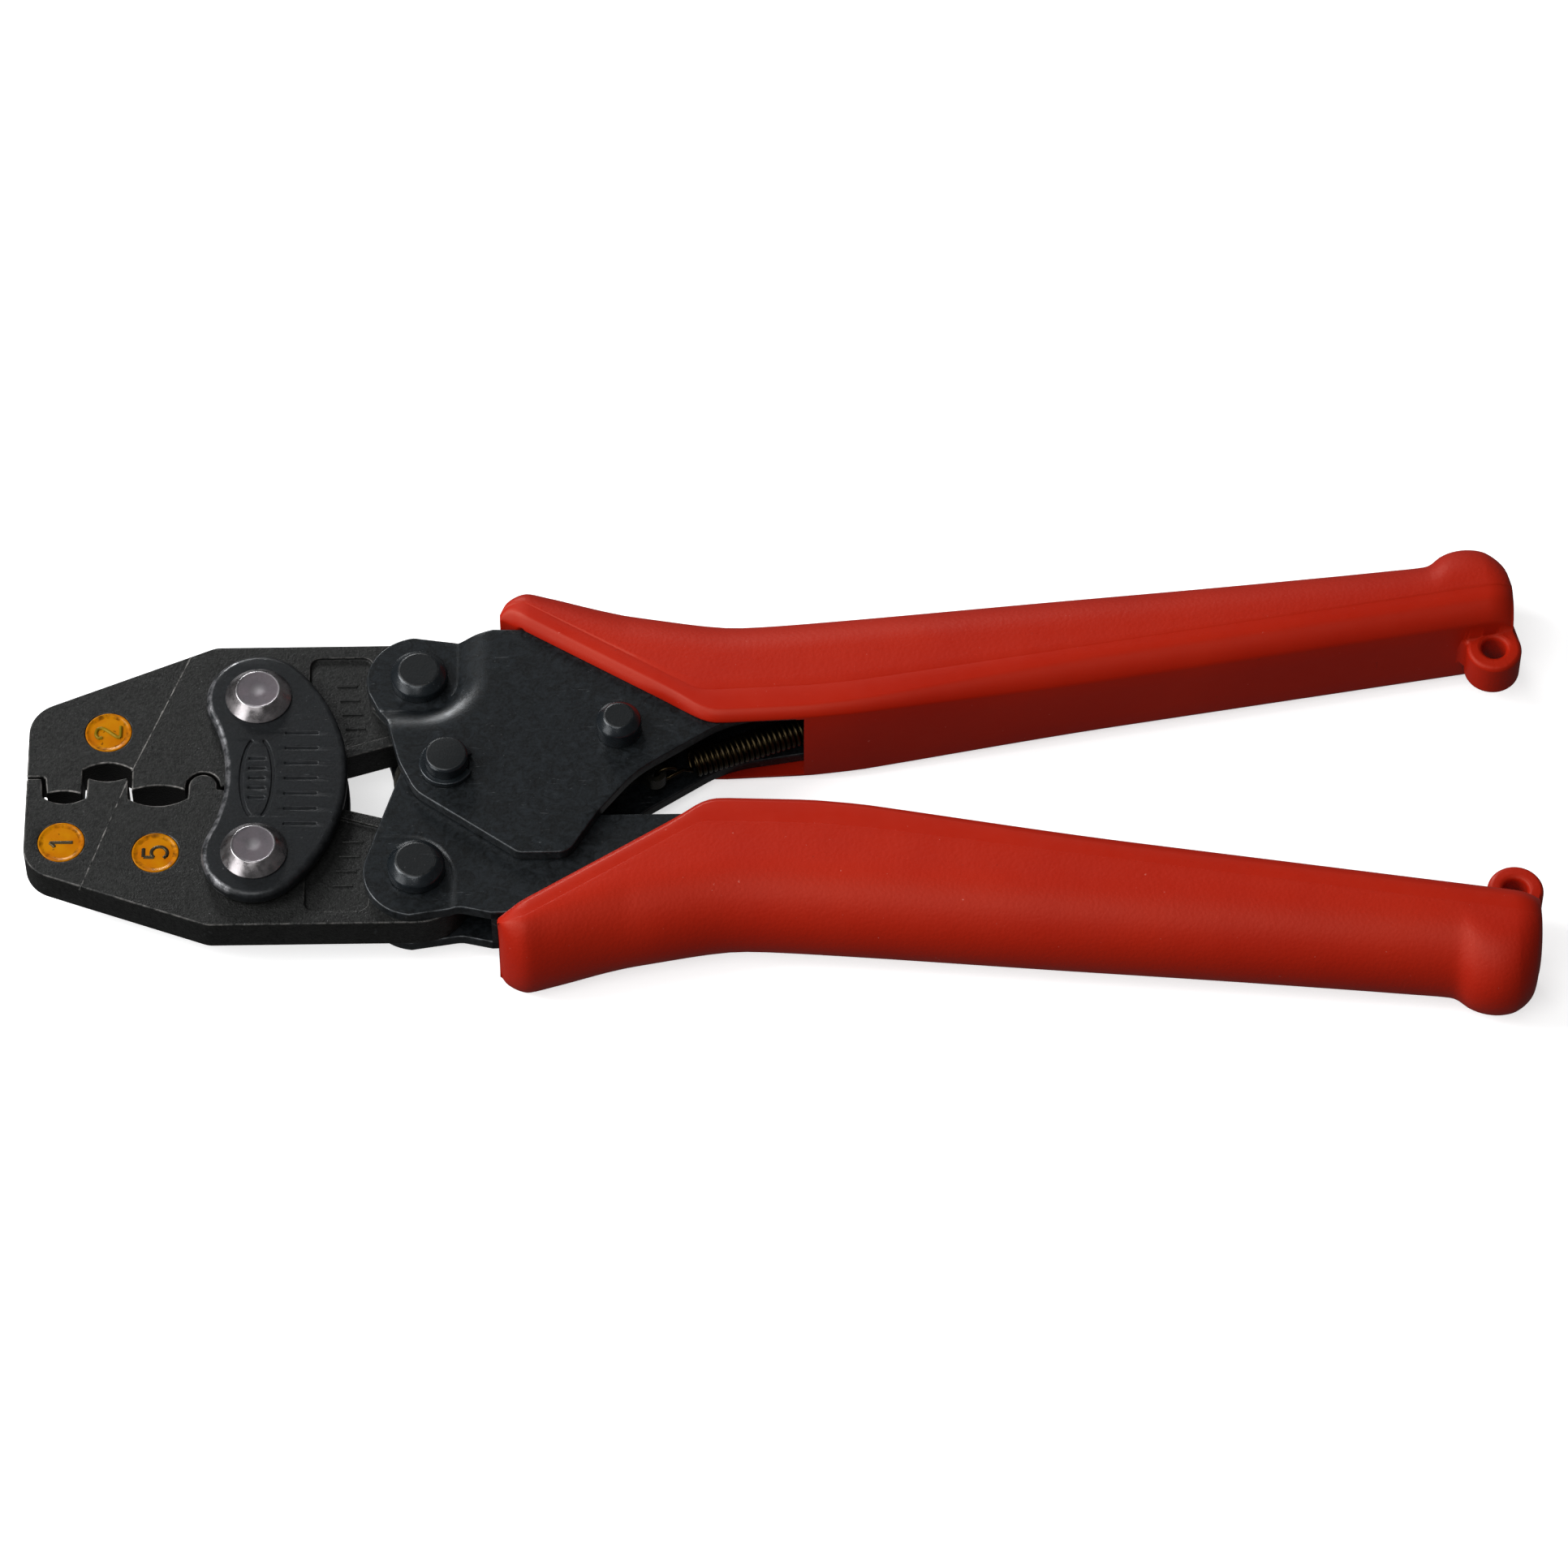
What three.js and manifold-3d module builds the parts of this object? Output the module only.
// A compact full-cycle hand crimping tool for bare wire terminals, lying on its side, closed.
// Two jaws turn on a pair of bean-shaped link plates. Each jaw is pushed by a handle, and the two
// handles are hinged together as a toggle. A sprung pawl in the upper handle works on a toothed
// sector in the lower one.
// Millimetres. X runs from the jaws (-X) to the grips (+X), Y is up the tool's width, Z is up.
import * as THREE from "three";
import { mergeVertices } from "three/addons/utils/BufferGeometryUtils.js";
import Module from "manifold-3d";

const wasm = await Module();
wasm.setup();

// ---------------------------------------------------------------- driving dimensions

// Pivots of the upper half. The lower half mirrors them in Y, except the pawl.
const LINK_PIVOT = { x: -60.5, y: 10.75 };
const TOGGLE_PIVOT = { x: -42, y: 13.2 };
const MAIN_PIVOT = { x: -38.65, y: 0 };
const PAWL_PIVOT = { x: -18.9, y: 4.67 };

// Levels, measured from the tool's middle plane.
const JAW_HALF = 2.2;
const SHEET = 1.5;
const SLIP = 0.1;
const INNER_LOW = JAW_HALF + SLIP;
const INNER_HIGH = INNER_LOW + SHEET;
const OUTER_LOW = INNER_HIGH + SLIP;
const OUTER_HIGH = OUTER_LOW + SHEET;
const LINK_THICKNESS = 2;
const LINK_HIGH = INNER_LOW + LINK_THICKNESS;
const GRIP_HALF = 7;
const SEAT = 0.05;

// Pins.
const RIVET_SHANK = 2.5;
const RIVET_BASE = 3.85;
const RIVET_TOP = 2.5;
const RIVET_CONE = 1.5;
const TOGGLE_SHANK = 2.3;
const TOGGLE_HEAD = 3.3;
const TOGGLE_TOP = 2.37;
const TOGGLE_COLLAR = 1.15;
const TOGGLE_CHAMFER = 0.9;
const MAIN_SHANK = 2.5;
const MAIN_TOP = 2.25;
const MAIN_PROUD = 2.5;
const MAIN_PROUD_REAR = 1.3;
const RING_OUTER = 3.15;
const RING_THICKNESS = 0.7;
const GROOVE_DEPTH = 0.4;
const PAWL_SHANK = 1.9;
const PAWL_HEAD = 2.6;
const PAWL_HEAD_TOP = 1.72;
const PAWL_COLLAR = 2.1;
const OPEN_PIVOT_CLEARANCE = 0.45;

// Link plates.
const LINK_LOBE = 6.05;
const LINK_WAIST_X = -64.1;
const LINK_ARC_X = -71.5;

// Jaws.
const JAW_HUB = 6.15;
const PANEL_DEPTH = 0.35;
const MARK_RADIUS = 2.7;
const MARK_DEPTH = 0.3;

// Handles.
const EAR = 6.1;
const LOWER_HUB = 5.2;
const FRAME_END = 80;
const SLEEVE_START = 2.4;
const GRIP_WALL = 1.6;

// Ratchet.
const SECTOR_TIP = 12.3;
const SECTOR_TOOTH = 0.8;
const SECTOR_FROM = 14;
const SECTOR_TO = 56;
const SECTOR_TEETH = 10;
const SECTOR_RIVET = { x: -30, y: -9 };
const PAWL_NOSE = 7.4;
const PAWL_NOSE_ANGLE = 165;
const SPRING_TAIL = { x: -14.8, y: 1.8 };
const SPRING_ANGLE = 19.4;
const SPRING_LENGTH = 34;
const SPRING_RADIUS = 1.45;
const SPRING_WIRE = 0.5;

const CURVE_STEPS = 4;
const ROUND = 28;
const DEG = Math.PI / 180;

// ---------------------------------------------------------------- helpers

function solidOf(geometry) {
  const bare = geometry.clone();
  bare.deleteAttribute("normal");
  bare.deleteAttribute("uv");
  const merged = mergeVertices(bare, 1e-4);
  return new wasm.Manifold(
    new wasm.Mesh({
      numProp: 3,
      vertProperties: merged.attributes.position.array,
      triVerts: new Uint32Array(merged.index.array),
    }),
  );
}

function meshOf(name, solid, material) {
  const { vertProperties, triVerts } = solid.getMesh();
  const geometry = new THREE.BufferGeometry();
  geometry.setAttribute("position", new THREE.BufferAttribute(vertProperties, 3));
  geometry.setIndex(new THREE.BufferAttribute(triVerts, 1));
  const mesh = new THREE.Mesh(geometry, material);
  mesh.name = name;
  return mesh;
}

// A closed outline whose corners are [x, y, radius].
function rounded(corners) {
  const shape = new THREE.Shape();
  const count = corners.length;
  for (let i = 0; i < count; i++) {
    const [x, y, radius = 0] = corners[i];
    const [ax, ay] = corners[(i + count - 1) % count];
    const [bx, by] = corners[(i + 1) % count];
    const here = new THREE.Vector2(x, y);
    const back = new THREE.Vector2(ax, ay).sub(here).normalize();
    const on = new THREE.Vector2(bx, by).sub(here).normalize();
    const half = Math.acos(THREE.MathUtils.clamp(back.dot(on), -1, 1)) / 2;
    const start = here.clone().addScaledVector(back, radius / Math.tan(half));
    if (i === 0) shape.moveTo(start.x, start.y);
    else shape.lineTo(start.x, start.y);
    if (radius > 0) {
      const end = here.clone().addScaledVector(on, radius / Math.tan(half));
      const centre = here.clone().addScaledVector(back.clone().add(on).normalize(), radius / Math.sin(half));
      const from = Math.atan2(start.y - centre.y, start.x - centre.x);
      const to = Math.atan2(end.y - centre.y, end.x - centre.x);
      const clockwise = back.cross(on) > 0;
      shape.absarc(centre.x, centre.y, radius, from, to, clockwise);
    }
  }
  shape.closePath();
  return shape;
}

function mirrored(corners) {
  return corners.map(([x, y, radius]) => [x, -y, radius]).reverse();
}

// A flat piece between two levels, with an optional broken edge.
function slab(shape, low, high, edge = 0) {
  const geometry = new THREE.ExtrudeGeometry(shape, {
    depth: high - low - 2 * edge,
    bevelEnabled: edge > 0,
    bevelThickness: edge,
    bevelSize: edge,
    bevelOffset: -edge,
    bevelSegments: 1,
    curveSegments: CURVE_STEPS,
  });
  geometry.translate(0, 0, low + edge);
  return solidOf(geometry);
}

// The same flat piece on the front and on the rear of the tool.
function slabPair(shape, low, high, edge = 0) {
  return slab(shape, low, high, edge).add(slab(shape, -high, -low, edge));
}

function disc(centre, radius, low, high, sides = ROUND) {
  const geometry = new THREE.CylinderGeometry(radius, radius, high - low, sides);
  geometry.rotateX(Math.PI / 2);
  geometry.translate(centre.x, centre.y, (low + high) / 2);
  return solidOf(geometry);
}

// A turned piece on a vertical axis, from a profile of [radius, z] going up.
function turned(centre, profile) {
  const geometry = new THREE.LatheGeometry(
    profile.map(([radius, z]) => new THREE.Vector2(radius, z)),
    ROUND,
  );
  geometry.rotateX(Math.PI / 2);
  geometry.translate(centre.x, centre.y, 0);
  return solidOf(geometry);
}

function upDown(point, side) {
  return { x: point.x, y: side * point.y };
}

// A point at a distance and an angle in degrees from another.
function polar(centre, radius, degrees) {
  return {
    x: centre.x + radius * Math.cos(degrees * DEG),
    y: centre.y + radius * Math.sin(degrees * DEG),
  };
}

// A bar with round ends between two points, as corners.
function bar(from, to, halfFrom, halfTo) {
  const along = new THREE.Vector2(to.x - from.x, to.y - from.y).normalize();
  const across = new THREE.Vector2(-along.y, along.x);
  return [
    [from.x + across.x * halfFrom, from.y + across.y * halfFrom],
    [from.x - across.x * halfFrom, from.y - across.y * halfFrom],
    [to.x - across.x * halfTo, to.y - across.y * halfTo],
    [to.x + across.x * halfTo, to.y + across.y * halfTo],
  ];
}

// ---------------------------------------------------------------- materials

function metal(color, roughness, metalness) {
  return new THREE.MeshStandardMaterial({ color, roughness, metalness });
}

const JAW_STEEL = { color: 0x2b2c2d, roughness: 0.6, metalness: 0.8 };
const SHEET_STEEL = { color: 0x1d2023, roughness: 0.4, metalness: 0.8 };
const PIN_STEEL = { color: 0x23272c, roughness: 0.35, metalness: 0.85 };
const BRIGHT_STEEL = { color: 0xa8a2a6, roughness: 0.3, metalness: 1 };
const SPRING_STEEL = { color: 0x3d3426, roughness: 0.35, metalness: 0.9 };
const RED_GRIP = { color: 0xa82a1c, roughness: 0.5, metalness: 0 };
const ENAMEL = { color: 0xd08a1a, roughness: 0.4, metalness: 0 };

function finish({ color, roughness, metalness }) {
  return metal(color, roughness, metalness);
}

const tool = new THREE.Group();

function place(name, solid, look) {
  tool.add(meshOf(name, solid, finish(look)));
}

// ---------------------------------------------------------------- link plates and jaw rivets

// Two lobes round the jaw pivots, a hollow waist at the front and one full arc at the back.
function linkOutline() {
  const top = LINK_PIVOT;
  const reach = top.x - LINK_WAIST_X;
  const waist = (reach ** 2 + top.y ** 2 - LINK_LOBE ** 2) / (2 * (LINK_LOBE - reach));
  const waistX = LINK_WAIST_X - waist;
  const backArc = Math.hypot(top.x - LINK_ARC_X, top.y) + LINK_LOBE;
  const backAngle = Math.atan2(top.y, top.x - LINK_ARC_X);
  const waistAngle = Math.atan2(top.y, top.x - waistX);
  const shape = new THREE.Shape();
  shape.absarc(top.x, top.y, LINK_LOBE, backAngle, Math.PI + waistAngle, false);
  shape.absarc(waistX, 0, waist, waistAngle, -waistAngle, true);
  shape.absarc(top.x, -top.y, LINK_LOBE, Math.PI - waistAngle, 2 * Math.PI - backAngle, false);
  shape.absarc(LINK_ARC_X, 0, backArc, -backAngle, backAngle, false);
  return shape;
}

function addLinkPlates() {
  const outline = linkOutline();
  const bore = RIVET_SHANK + SEAT;
  for (const [name, low] of [
    ["front_link_plate", INNER_LOW],
    ["rear_link_plate", -LINK_HIGH],
  ]) {
    let plate = slab(outline, low, low + LINK_THICKNESS, 0.45);
    for (const side of [1, -1]) {
      plate = plate.subtract(disc(upDown(LINK_PIVOT, side), bore, low - 1, low + LINK_THICKNESS + 1));
    }
    place(name, plate, SHEET_STEEL);
  }
  const seat = LINK_HIGH + SEAT;
  const top = seat + RIVET_CONE;
  for (const [name, side] of [
    ["upper_jaw_rivet", 1],
    ["lower_jaw_rivet", -1],
  ]) {
    const profile = [
      [0, -top],
      [RIVET_TOP, -top],
      [RIVET_BASE, -seat],
      [RIVET_SHANK, -seat],
      [RIVET_SHANK, seat],
      [RIVET_BASE, seat],
      [RIVET_TOP, top],
      [0, top],
    ];
    place(name, turned(upDown(LINK_PIVOT, side), profile), BRIGHT_STEEL);
  }
}

// ---------------------------------------------------------------- jaws

const JAW_FRONT = -87;
const JAW_EDGE = 19.35;
const JAW_SHOULDER = -65.8;
const KNUCKLE = { x: -66.75, y: -0.2 };
const KNUCKLE_RADIUS = 1.62;
const SOCKET_RADIUS = 1.97;

// The rear half of either jaw: the arm's inner edge, the hub and the outer edge.
function jawRear(front) {
  return [
    [-63.6, -0.6, 0],
    [-50, -3.75, 0],
    [-43.9, -5.5, 1.2],
    [-38.4, -9.5, 0],
    [TOGGLE_PIVOT.x, -JAW_EDGE, 0],
    [JAW_SHOULDER, -JAW_EDGE, 3],
    [JAW_FRONT, front, 4.2],
  ];
}

// The lower jaw carries nests 1 and 5 as hollows, nest 2 on a tooth, and the round knuckle.
function lowerJawShape() {
  const shape = new THREE.Shape();
  shape.moveTo(JAW_FRONT, 1.17);
  shape.lineTo(-85.28, 1.17);
  shape.lineTo(-85.2, -1.75);
  shape.quadraticCurveTo(-82.65, -3.4, -80.15, -1.75);
  shape.lineTo(-80.02, 1.2);
  shape.quadraticCurveTo(-77.7, 0.2, -75.38, 1.2);
  shape.lineTo(-75.3, -1.9);
  shape.quadraticCurveTo(-71.8, -4.1, -68.4, -1.95);
  shape.lineTo(KNUCKLE.x - KNUCKLE_RADIUS, KNUCKLE.y);
  shape.absarc(KNUCKLE.x, KNUCKLE.y, KNUCKLE_RADIUS, Math.PI, 0, true);
  shape.lineTo(KNUCKLE.x + KNUCKLE_RADIUS, -0.6);
  const rear = rounded([[-65, -0.6], ...jawRear(-11.3), [JAW_FRONT, 1.17]]);
  const rest = rear.getPoints(CURVE_STEPS).slice(1, -2);
  for (const point of rest) shape.lineTo(point.x, point.y);
  shape.closePath();
  return shape;
}

// The upper jaw carries nest 2 as a hollow, nests 1 and 5 on teeth, and the knuckle's socket.
function upperJawShape() {
  const shape = new THREE.Shape();
  shape.moveTo(JAW_FRONT, 1.4);
  shape.lineTo(-85.05, 1.4);
  shape.lineTo(-84.85, 1.1);
  shape.lineTo(-84.62, -1.05);
  shape.quadraticCurveTo(-82.75, -0.2, -80.66, -1.05);
  shape.lineTo(-80.66, 2.35);
  shape.quadraticCurveTo(-77.8, 4, -74.97, 2.35);
  shape.lineTo(-74.9, -0.65);
  shape.quadraticCurveTo(-71.8, 0.6, -68.75, -0.7);
  shape.lineTo(KNUCKLE.x - SOCKET_RADIUS, KNUCKLE.y);
  shape.absarc(KNUCKLE.x, KNUCKLE.y, SOCKET_RADIUS, Math.PI, 0, true);
  shape.lineTo(-64.6, -0.3);
  const rear = rounded(mirrored([[-64.7, 0.3], ...jawRear(-10.35), [JAW_FRONT, -1.4]]));
  const rest = rear.getPoints(CURVE_STEPS).slice(1, -2).reverse();
  for (const point of rest) shape.lineTo(point.x, point.y);
  shape.closePath();
  return shape;
}

// The hub disc, the bores, the shallow panels and the mark pockets.
function finishJaw(body, side, marks) {
  const link = upDown(LINK_PIVOT, side);
  const toggle = upDown(TOGGLE_PIVOT, side);
  let jaw = body.add(disc(toggle, JAW_HUB, -JAW_HALF, JAW_HALF));
  jaw = jaw.subtract(disc(link, RIVET_SHANK + SLIP, -JAW_HALF - 1, JAW_HALF + 1));
  jaw = jaw.subtract(disc(toggle, TOGGLE_SHANK + SLIP, -JAW_HALF - 1, JAW_HALF + 1));
  const panel = [
    [-54.75, 17.6, 1.2],
    [-54.75, 4.2, 1.2],
    [-50.4, 4.95, 0],
    [-44.5, 6.8, 0],
    [-47.5, 10.5, 0],
    [-47.5, 17.6, 1.2],
  ];
  const cut = rounded(side > 0 ? panel : mirrored(panel));
  jaw = jaw.subtract(slabPair(cut, JAW_HALF - PANEL_DEPTH, JAW_HALF + 1));
  for (const mark of marks) {
    jaw = jaw.subtract(disc(mark, MARK_RADIUS, JAW_HALF - MARK_DEPTH, JAW_HALF + 1));
  }
  return jaw;
}

const MARKS = {
  nest_mark_1: { x: -82.7, y: -7.7 },
  nest_mark_2: { x: -77.85, y: 7.5 },
  nest_mark_5: { x: -71.9, y: -9.3 },
};

function addJaws() {
  const lowerBody = slab(lowerJawShape(), -JAW_HALF, JAW_HALF);
  const upperBody = slab(upperJawShape(), -JAW_HALF, JAW_HALF);
  const { nest_mark_1: one, nest_mark_2: two, nest_mark_5: five } = MARKS;
  place("upper_jaw", finishJaw(upperBody, 1, [two]), JAW_STEEL);
  place("lower_jaw", finishJaw(lowerBody, -1, [one, five]), JAW_STEEL);
  const low = JAW_HALF - MARK_DEPTH + SEAT;
  for (const [name, centre] of Object.entries(MARKS)) {
    place(name, disc(centre, MARK_RADIUS - SEAT, low, JAW_HALF - SEAT), ENAMEL);
  }
}

// ---------------------------------------------------------------- handle frames

// The channel inside the grip: its outer edge and its inner edge, for the upper handle.
const WEB_OUTER = [
  [-33.5, 19.2, 0.3],
  [-20, 18.8, 20],
  [-8, 17.4, 20],
  [4, 17.5, 30],
  [FRAME_END, 24.6, 0],
];
const FLANGE_INNER = [
  [FRAME_END, 19.9, 0],
  [SLEEVE_START, 7.45, 0],
];

function upperPlateCorners() {
  return [
    ...[...FLANGE_INNER].reverse().map(([x, y]) => [x, y, 0]),
    ...[...WEB_OUTER].reverse(),
    [-37, 18.35, 3],
    [TOGGLE_PIVOT.x, TOGGLE_PIVOT.y + EAR, 0],
    [-47.4, 10.3, 0],
    [-45.6, 6.6, 6],
    [-44.2, 0.8, 9],
    [-42.3, -3.35, 4.5],
    [-30.4, -12.1, 1.6],
    [-24.7, -12.1, 2.2],
    [-21.4, -6.6, 0],
    [-16.9, -0.9, 12],
    [-6.5, 6, 12],
  ];
}

function lowerPlateCorners() {
  return [
    ...mirrored(WEB_OUTER).reverse(),
    [FRAME_END, -19.9, 0],
    [SLEEVE_START, -7.45, 0],
    [-12, -5.9, 12],
    [-27.5, -5.9, 3],
    [-33.6, -1.2, 0],
    [-43.59, 1.63, 0],
    [-47.84, -11.28, 0],
    [TOGGLE_PIVOT.x, -TOGGLE_PIVOT.y - EAR, 0],
    [-37, -18.35, 3],
  ];
}

// The strip of web that joins a handle's two flanges along its outer edge.
function webShape(side) {
  const outer = WEB_OUTER.map(([x, y, radius]) => [x, y, radius]);
  const inner = [...WEB_OUTER].reverse().map(([x, y, radius]) => [x, y - SHEET, radius]);
  const corners = [...outer, ...inner].map(([x, y, radius]) => [x, y, x > -30 && x < 50 ? radius : 0]);
  return rounded(side > 0 ? corners : mirrored(corners));
}

// The region of the upper plate that lies on the jaw, grown past the joggle's inner line.
function earRegion(grow) {
  return slab(
    rounded([
      [-60, 8.85 - grow, 0],
      [-37.6 + grow, 8.85 - grow, 4.3 + grow],
      [-37.6 + grow, 30, 0],
      [-60, 30, 0],
    ]),
    -9,
    9,
  );
}

// The upper handle's ears sit on the jaw; past a joggle its plates ride outside the lower handle's.
function upperFrame() {
  const plate = rounded(upperPlateCorners());
  const rim = new THREE.Shape();
  rim.absarc(TOGGLE_PIVOT.x, TOGGLE_PIVOT.y, EAR, 0, 2 * Math.PI, false);
  const layer = (low, high) => slabPair(plate, low, high).add(slabPair(rim, low, high));
  const ears = layer(INNER_LOW, INNER_HIGH).intersect(earRegion(SHEET / 2));
  const main = layer(OUTER_LOW, OUTER_HIGH).subtract(earRegion(SHEET / 2));
  const riser = layer(INNER_LOW, OUTER_HIGH).intersect(earRegion(SHEET)).subtract(earRegion(0));
  let frame = main.add(riser).add(ears).add(slab(webShape(1), -OUTER_HIGH, OUTER_HIGH));
  frame = frame.subtract(disc(TOGGLE_PIVOT, TOGGLE_SHANK + SEAT, -9, 9));
  frame = frame.subtract(disc(MAIN_PIVOT, MAIN_SHANK + SEAT, -9, 9));
  frame = frame.subtract(disc(PAWL_PIVOT, PAWL_SHANK + SEAT, -9, 9));
  return frame.subtract(disc(springAnchor(), ANCHOR_RADIUS + SEAT, -9, 9, 16));
}

function lowerFrame() {
  const plate = rounded(lowerPlateCorners());
  const toggle = upDown(TOGGLE_PIVOT, -1);
  let frame = slabPair(plate, INNER_LOW, INNER_HIGH);
  for (const low of [INNER_LOW, -INNER_HIGH]) {
    frame = frame.add(disc(toggle, EAR, low, low + SHEET, 32));
    frame = frame.add(disc(MAIN_PIVOT, LOWER_HUB, low, low + SHEET, 32));
  }
  frame = frame.add(slab(webShape(-1), -INNER_HIGH, INNER_HIGH));
  frame = frame.subtract(disc(toggle, TOGGLE_SHANK + SEAT, -9, 9));
  frame = frame.subtract(disc(MAIN_PIVOT, MAIN_SHANK + OPEN_PIVOT_CLEARANCE, -9, 9));
  return frame.subtract(disc(SECTOR_RIVET, SECTOR_RIVET_RADIUS + SEAT, -9, 9));
}

// ---------------------------------------------------------------- pins and retaining rings

function toggleProfile() {
  const seat = INNER_HIGH + SEAT;
  const collar = seat + TOGGLE_COLLAR;
  const top = collar + TOGGLE_CHAMFER;
  return [
    [0, -top],
    [TOGGLE_TOP, -top],
    [TOGGLE_HEAD, -collar],
    [TOGGLE_HEAD, -seat],
    [TOGGLE_SHANK, -seat],
    [TOGGLE_SHANK, seat],
    [TOGGLE_HEAD, seat],
    [TOGGLE_HEAD, collar],
    [TOGGLE_TOP, top],
    [0, top],
  ];
}

// The main pivot is a plain pin held by a ring in a groove at each end.
function mainPinProfile() {
  const grooveLow = OUTER_HIGH + SEAT;
  const grooveHigh = grooveLow + RING_THICKNESS + 2 * SEAT;
  const neck = MAIN_SHANK - GROOVE_DEPTH;
  const front = OUTER_HIGH + MAIN_PROUD;
  const rear = OUTER_HIGH + MAIN_PROUD_REAR;
  return [
    [0, -rear],
    [MAIN_TOP, -rear],
    [MAIN_SHANK, -rear + 0.25],
    [MAIN_SHANK, -grooveHigh],
    [neck, -grooveHigh],
    [neck, -grooveLow],
    [MAIN_SHANK, -grooveLow],
    [MAIN_SHANK, grooveLow],
    [neck, grooveLow],
    [neck, grooveHigh],
    [MAIN_SHANK, grooveHigh],
    [MAIN_SHANK, front - 0.3],
    [MAIN_TOP, front],
    [0, front],
  ];
}

// An open ring, its gap towards the grips.
function retainingRing(low) {
  const inner = MAIN_SHANK - GROOVE_DEPTH + SEAT;
  const gap = 22 * DEG;
  const shape = new THREE.Shape();
  shape.absarc(MAIN_PIVOT.x, MAIN_PIVOT.y, RING_OUTER, gap, 2 * Math.PI - gap, false);
  shape.absarc(MAIN_PIVOT.x, MAIN_PIVOT.y, inner, 2 * Math.PI - gap, gap, true);
  const geometry = new THREE.ExtrudeGeometry(shape, {
    depth: RING_THICKNESS,
    bevelEnabled: false,
    curveSegments: 12,
  });
  geometry.translate(0, 0, low);
  return solidOf(geometry);
}

function pawlPinProfile() {
  const seat = OUTER_HIGH + SEAT;
  const collar = seat + PAWL_COLLAR;
  const top = collar + TOGGLE_CHAMFER;
  const rearCollar = seat + 0.5;
  const rearTop = rearCollar + 0.5;
  return [
    [0, -rearTop],
    [PAWL_HEAD - 0.5, -rearTop],
    [PAWL_HEAD, -rearCollar],
    [PAWL_HEAD, -seat],
    [PAWL_SHANK, -seat],
    [PAWL_SHANK, seat],
    [PAWL_HEAD, seat],
    [PAWL_HEAD, collar],
    [PAWL_HEAD_TOP, top],
    [0, top],
  ];
}

function addPins() {
  place("upper_toggle_pin", turned(TOGGLE_PIVOT, toggleProfile()), PIN_STEEL);
  place("lower_toggle_pin", turned(upDown(TOGGLE_PIVOT, -1), toggleProfile()), PIN_STEEL);
  place("main_pivot_pin", turned(MAIN_PIVOT, mainPinProfile()), PIN_STEEL);
  const ringLow = OUTER_HIGH + 2 * SEAT;
  place("front_retaining_ring", retainingRing(ringLow), PIN_STEEL);
  place("rear_retaining_ring", retainingRing(-ringLow - RING_THICKNESS), PIN_STEEL);
  place("pawl_pin", turned(PAWL_PIVOT, pawlPinProfile()), PIN_STEEL);
}

// ---------------------------------------------------------------- ratchet

const SECTOR_RIVET_RADIUS = 1.75;
const ANCHOR_RADIUS = 0.8;
const SECTOR_HUB = 6.2;
const PAWL_HUB = 2.95;
const SPACER_RADIUS = 2.75;
const TAIL_HALF = 0.8;
const HOOK_RADIUS = 1.3;

// A toothed fan on a hub round the main pivot, with an arm to the rivet that fixes it.
function ratchetSector() {
  const fan = new THREE.Shape();
  fan.moveTo(MAIN_PIVOT.x, MAIN_PIVOT.y);
  const pitch = (SECTOR_TO - SECTOR_FROM) / SECTOR_TEETH;
  for (let i = 0; i < SECTOR_TEETH; i++) {
    const from = SECTOR_FROM + i * pitch;
    const root = polar(MAIN_PIVOT, SECTOR_TIP - SECTOR_TOOTH, from);
    const tipFrom = polar(MAIN_PIVOT, SECTOR_TIP, from + pitch * 0.35);
    const tipTo = polar(MAIN_PIVOT, SECTOR_TIP, from + pitch * 0.65);
    fan.lineTo(root.x, root.y);
    fan.lineTo(tipFrom.x, tipFrom.y);
    fan.lineTo(tipTo.x, tipTo.y);
  }
  const last = polar(MAIN_PIVOT, SECTOR_TIP - SECTOR_TOOTH, SECTOR_TO);
  fan.lineTo(last.x, last.y);
  fan.closePath();
  const arm = rounded(bar(MAIN_PIVOT, SECTOR_RIVET, 5, 3.2));
  let sector = slab(fan, -JAW_HALF, JAW_HALF);
  sector = sector.add(disc(MAIN_PIVOT, SECTOR_HUB, -JAW_HALF, JAW_HALF));
  sector = sector.add(slab(arm, -JAW_HALF, JAW_HALF));
  sector = sector.add(disc(SECTOR_RIVET, 3.2, -JAW_HALF, JAW_HALF));
  sector = sector.subtract(disc(MAIN_PIVOT, MAIN_SHANK + OPEN_PIVOT_CLEARANCE, -9, 9));
  return sector.subtract(disc(SECTOR_RIVET, SECTOR_RIVET_RADIUS + SEAT, -9, 9));
}

// A pawl with a blunt nose, a hub as thick as the jaws and a thin tail with a hole for the spring.
function ratchetPawl() {
  const tip = polar(PAWL_PIVOT, PAWL_NOSE - 0.6, PAWL_NOSE_ANGLE);
  const nose = rounded(bar(PAWL_PIVOT, tip, 2.6, 0.6));
  const tail = rounded(bar(PAWL_PIVOT, SPRING_TAIL, 1.6, 1.1));
  let pawl = disc(PAWL_PIVOT, PAWL_HUB, -JAW_HALF, JAW_HALF);
  pawl = pawl.add(slab(nose, -JAW_HALF, JAW_HALF));
  pawl = pawl.add(disc(tip, 0.6, -JAW_HALF, JAW_HALF, 16));
  pawl = pawl.add(slab(tail, -TAIL_HALF, TAIL_HALF));
  pawl = pawl.add(disc(SPRING_TAIL, 1.25, -TAIL_HALF, TAIL_HALF, 24));
  pawl = pawl.subtract(disc(SPRING_TAIL, 0.6, -2, 2, 16));
  return pawl.subtract(disc(PAWL_PIVOT, PAWL_SHANK + SLIP, -9, 9));
}

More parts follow.
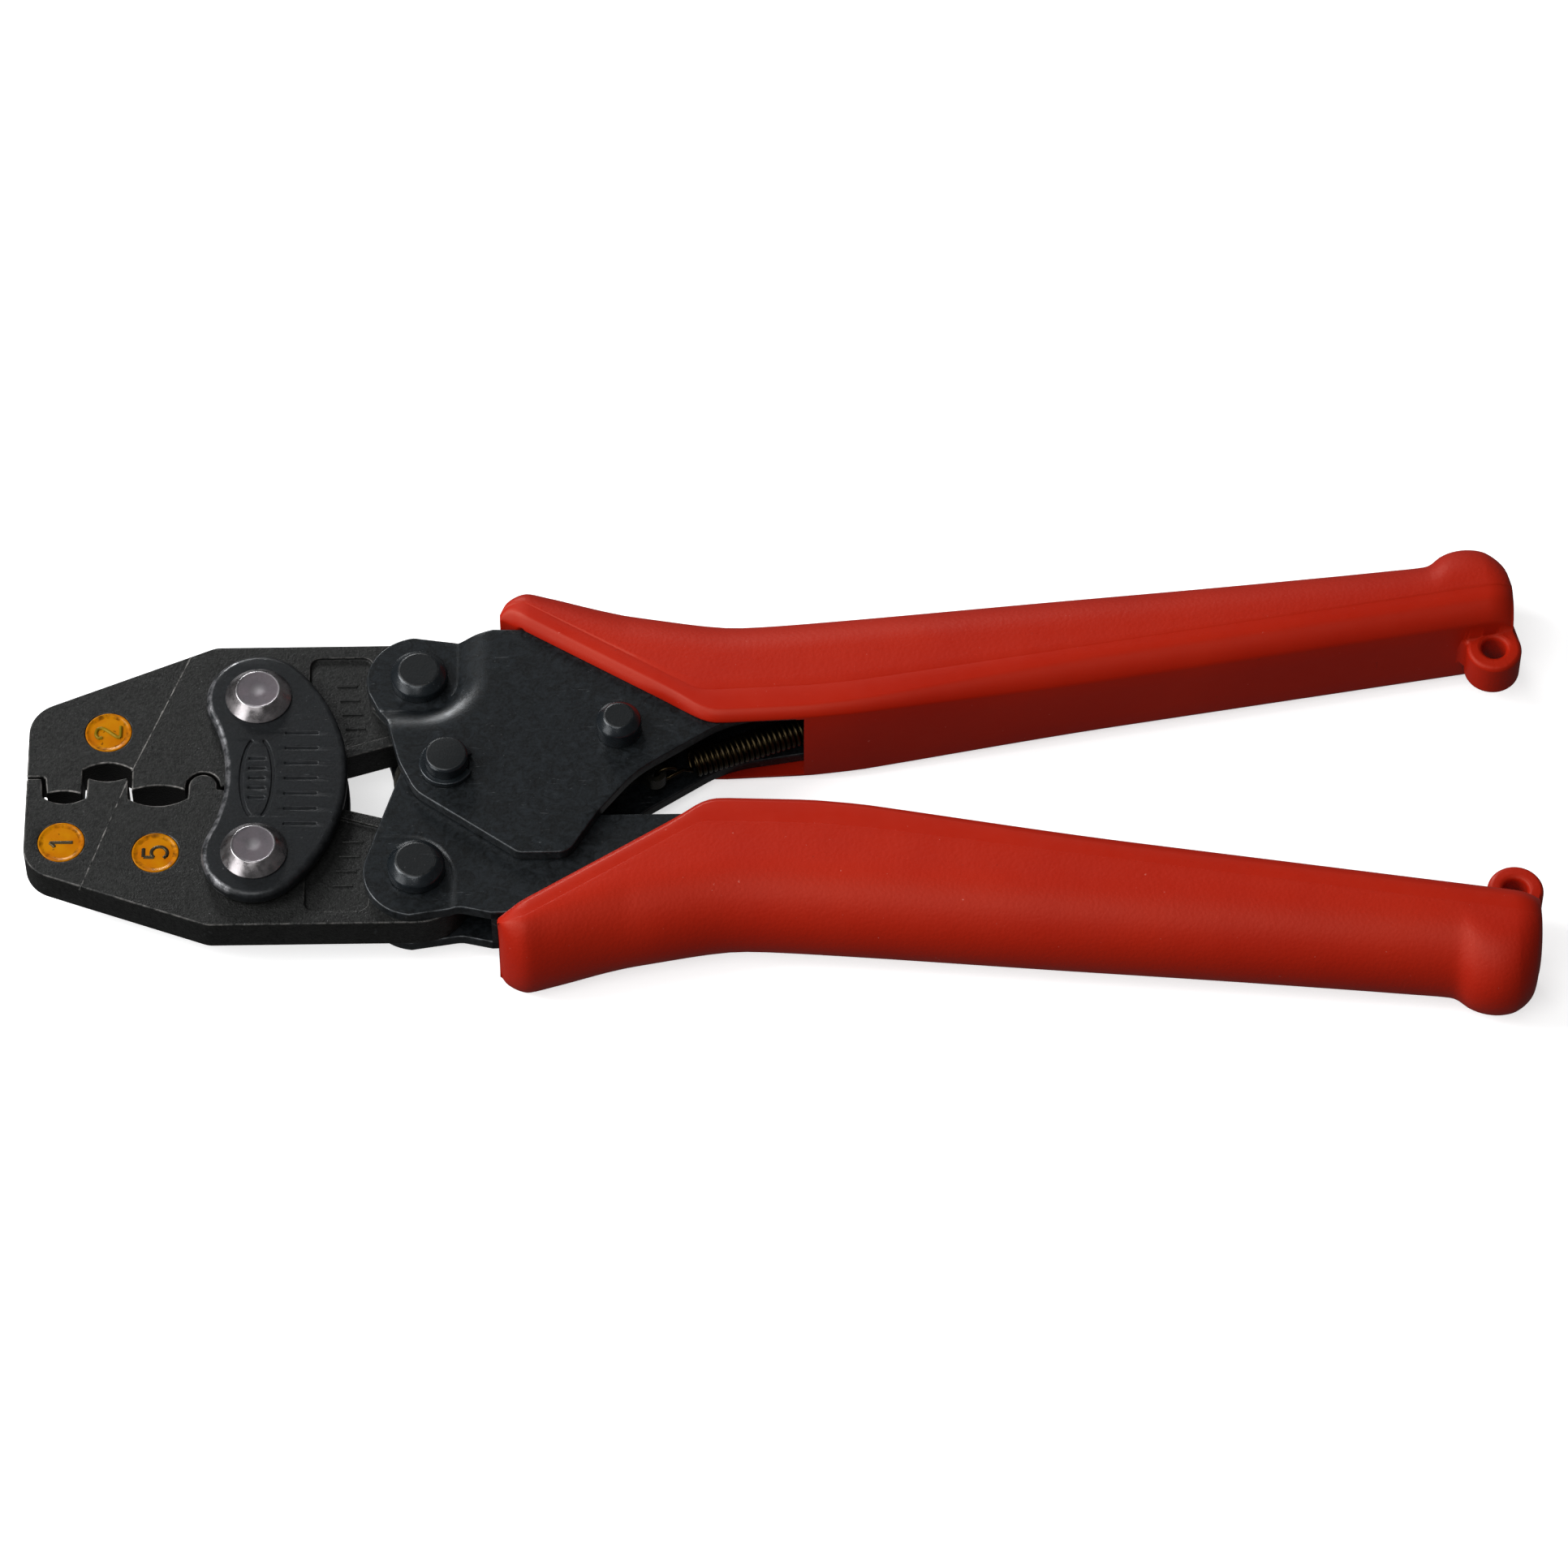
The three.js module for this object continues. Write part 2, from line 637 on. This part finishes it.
function springAnchor() {
  return polar(SPRING_TAIL, SPRING_LENGTH, SPRING_ANGLE);
}

// The coil as a tube of its outer size, with a loop at each end. The loop at the pawl stands
// upright through the tail's hole; the loop at the anchor lies flat round its pin.
function pawlSpring() {
  const wire = SPRING_WIRE / 2;
  const coilFrom = 5;
  const coilTo = SPRING_LENGTH - 3.2;
  const tube = new THREE.LatheGeometry(
    [
      new THREE.Vector2(SPRING_RADIUS - SPRING_WIRE, coilFrom),
      new THREE.Vector2(SPRING_RADIUS, coilFrom),
      new THREE.Vector2(SPRING_RADIUS, coilTo),
      new THREE.Vector2(SPRING_RADIUS - SPRING_WIRE, coilTo),
      new THREE.Vector2(SPRING_RADIUS - SPRING_WIRE, coilFrom),
    ],
    16,
  );
  tube.rotateZ(-Math.PI / 2);
  const neck = (from, to) => {
    const geometry = new THREE.CylinderGeometry(wire, wire, to - from, 8);
    geometry.rotateZ(Math.PI / 2);
    geometry.translate((from + to) / 2, 0, SPRING_RADIUS - wire);
    return geometry;
  };
  const ring = (x, upright, radius) => {
    const geometry = new THREE.TorusGeometry(radius, wire, 6, 16);
    if (upright) geometry.rotateX(Math.PI / 2);
    geometry.translate(x, 0, 0);
    return geometry;
  };
  const strut = (x, low, high) => {
    const geometry = new THREE.CylinderGeometry(wire, wire, high - low, 8);
    geometry.rotateX(Math.PI / 2);
    geometry.translate(x, 0, (low + high) / 2);
    return geometry;
  };
  const hookX = HOOK_RADIUS;
  const anchorX = SPRING_LENGTH;
  const pieces = [
    tube,
    ring(hookX, true, HOOK_RADIUS),
    neck(hookX + 0.4, coilFrom + 0.3),
    ring(anchorX, false, 1.25),
    neck(coilTo - 0.3, anchorX - 1.25),
    strut(anchorX - 1.25, -0.1, SPRING_RADIUS - wire),
  ];
  const turn = new THREE.Matrix4().makeRotationZ(SPRING_ANGLE * DEG);
  turn.setPosition(SPRING_TAIL.x, SPRING_TAIL.y, 0);
  return pieces
    .map((geometry) => solidOf(geometry.applyMatrix4(turn)))
    .reduce((whole, piece) => whole.add(piece));
}

function addRatchet() {
  place("ratchet_sector", ratchetSector(), JAW_STEEL);
  const rivet = disc(SECTOR_RIVET, SECTOR_RIVET_RADIUS, -INNER_HIGH, INNER_HIGH);
  place("sector_rivet", rivet, PIN_STEEL);
  place("ratchet_pawl", ratchetPawl(), JAW_STEEL);
  for (const [name, low] of [
    ["front_pawl_spacer", INNER_LOW],
    ["rear_pawl_spacer", -INNER_HIGH],
  ]) {
    const washer = disc(PAWL_PIVOT, SPACER_RADIUS, low, low + SHEET, 24);
    place(name, washer.subtract(disc(PAWL_PIVOT, PAWL_SHANK + SEAT, -9, 9)), PIN_STEEL);
  }
  place("pawl_spring", pawlSpring(), SPRING_STEEL);
  const anchor = disc(springAnchor(), ANCHOR_RADIUS, -OUTER_HIGH + SEAT, OUTER_HIGH - SEAT, 16);
  place("spring_anchor_pin", anchor, PIN_STEEL);
}

// ---------------------------------------------------------------- grips

// The upper grip's plan view. The wing at the front guards the hand; the knob at the end stops it.
const GRIP_OUTER = new THREE.SplineCurve(
  [
    [-32.7, 21],
    [-31.9, 23.6],
    [-29.8, 25.35],
    [-27, 25.25],
    [-20.4, 23.6],
    [-14.9, 22.5],
    [-8, 21.35],
    [-3, 21.2],
    [9, 22.15],
    [30, 24.15],
    [50, 26],
    [70, 28],
    [74.6, 28.5],
    [77.6, 30.3],
    [80.8, 31.1],
    [82.7, 30.5],
    [84.4, 28.7],
    [85.2, 26],
  ].map(([x, y]) => new THREE.Vector2(x, y)),
).getPoints(170);
const GRIP_INNER = [
  [-32.7, 20.6],
  [-13.5, 8.5],
  [-9.4, 5.75],
  [-7.8, 5.3],
  [3, 5.75],
  [8.7, 6.35],
  [85.2, 19.1],
].map(([x, y]) => new THREE.Vector2(x, y));
const GRIP_EDGE = 1.8;
const GRIP_STATIONS = [
  -32.7, -32.3, -31.7, -30.8, -29.6, -28, -25.5, -22, -18, -13.5, -11.2, -9.4, -7.8, -4, 0, 4, 9, 20, 35,
  50, 65, 72, 74.3, 75.5, 76.5, 77.5, 78.6, 80, 81.5, 82.7, 83.6, 84.4, 84.9, 85.2,
];
// The sleeve's wall thins towards its mouth, where the spring runs in.
const MOUTH = { y: 6.25, length: 6.3 };
const LUG = { x: 82.9, y: 16.87 };
const LUG_RADIUS = 3.25;
const LUG_HOLE = 1.4;
const LUG_HALF = 2.55;

function heightAt(line, x) {
  const next = Math.max(1, line.findIndex((point) => point.x >= x - 1e-6));
  const a = line[next - 1];
  const b = line[next];
  return a.y + ((b.y - a.y) * (x - a.x)) / (b.x - a.x);
}

// One section across the grip: flat faces, a broken inner edge and a full round at the palm.
function gripSection(x, side) {
  const inner = heightAt(GRIP_INNER, x);
  const outer = heightAt(GRIP_OUTER, x);
  const width = outer - inner;
  const tipEase = THREE.MathUtils.smoothstep(x, -33.6, -29);
  const endEase = 1 - 0.3 * THREE.MathUtils.smoothstep(x, 83.2, 87);
  const half = GRIP_HALF * (0.72 + 0.28 * tipEase) * endEase;
  const palm = Math.min(GRIP_HALF, 0.6 * width);
  const edge = Math.min(GRIP_EDGE, 0.25 * width);
  const ease = 0.3 * edge;
  const ring = [
    [inner + ease, -half + ease],
    [inner, -half + edge],
    [inner, half - edge],
    [inner + ease, half - ease],
    [inner + edge, half],
  ];
  for (let i = 0; i <= 10; i++) {
    const angle = (90 - 18 * i) * DEG;
    ring.push([outer - palm + palm * Math.cos(angle), half * Math.sin(angle)]);
  }
  ring.push([inner + edge, -half]);
  return ring.map(([y, z]) => [x, side * y, z]);
}

// A closed body through rings of equal length.
function loft(rings, reversed) {
  const count = rings[0].length;
  const positions = rings.flat(2);
  const index = [];
  const add = (a, b, c) => (reversed ? index.push(a, c, b) : index.push(a, b, c));
  for (let i = 0; i + 1 < rings.length; i++) {
    for (let j = 0; j < count; j++) {
      const a = i * count + j;
      const b = i * count + ((j + 1) % count);
      add(a, b, b + count);
      add(a, b + count, a + count);
    }
  }
  const last = (rings.length - 1) * count;
  for (let j = 1; j + 1 < count; j++) {
    add(0, j + 1, j);
    add(last, last + j, last + j + 1);
  }
  const geometry = new THREE.BufferGeometry();
  geometry.setAttribute("position", new THREE.Float32BufferAttribute(positions, 3));
  geometry.setIndex(index);
  return solidOf(geometry);
}

// The grip is one moulding: it wraps the channel, and its front wings leave the inner side open.
function grip(side, channelHalf) {
  const rings = GRIP_STATIONS.map((x) => gripSection(x, side));
  let body = loft(rings, side > 0);
  const ear = rounded([
    [LUG.x - 5.6, side * (LUG.y + 2.2), 0],
    [LUG.x - LUG_RADIUS + 0.2, side * (LUG.y + 0.6), 0],
    [LUG.x - LUG_RADIUS + 0.2, side * LUG.y, 0],
    [LUG.x + LUG_RADIUS - 0.2, side * LUG.y, 0],
    [LUG.x + LUG_RADIUS - 0.6, side * (LUG.y + 4), 0],
    [LUG.x - 5.6, side * (LUG.y + 4), 0],
  ]);
  const lug = upDown(LUG, side);
  body = body.add(slab(ear, -LUG_HALF, LUG_HALF));
  body = body.add(disc(lug, LUG_RADIUS, -LUG_HALF, LUG_HALF));
  body = body.subtract(disc(lug, LUG_HOLE, -9, 9, 24));
  const wall = GRIP_WALL - SLIP;
  const roof = WEB_OUTER.slice(1).map(([x, y, radius]) => [x, y + SLIP, radius]);
  roof[roof.length - 1] = [FRAME_END + SLIP, 24.7, 0];
  const cavity = [
    [-40, -20, 0],
    [SLEEVE_START, -20, 0],
    [SLEEVE_START, MOUTH.y, 0],
    [SLEEVE_START + MOUTH.length, heightAt(GRIP_INNER, 8.7) + wall, 0],
    [FRAME_END + SLIP, heightAt(GRIP_INNER, FRAME_END) + wall, 0],
    ...roof.reverse(),
    [-33.7, 19.35, 0],
    [-40, 19.35, 0],
  ];
  const hollow = rounded(side > 0 ? cavity : mirrored(cavity));
  return body.subtract(slab(hollow, -channelHalf - SLIP, channelHalf + SLIP));
}

// ---------------------------------------------------------------- the assembly

addLinkPlates();
addJaws();
place("upper_handle_frame", upperFrame(), SHEET_STEEL);
place("lower_handle_frame", lowerFrame(), SHEET_STEEL);
addPins();
addRatchet();
place("upper_grip", grip(1, OUTER_HIGH), RED_GRIP);
place("lower_grip", grip(-1, INNER_HIGH), RED_GRIP);

// The frame's origin lies under the middle of the tool, on the plane that it rests on.
const box = new THREE.Box3().setFromObject(tool);
const middle = box.getCenter(new THREE.Vector3());
tool.position.set(-middle.x, -middle.y, -box.min.z);

const part = new THREE.Group();
part.add(tool);

export default part;
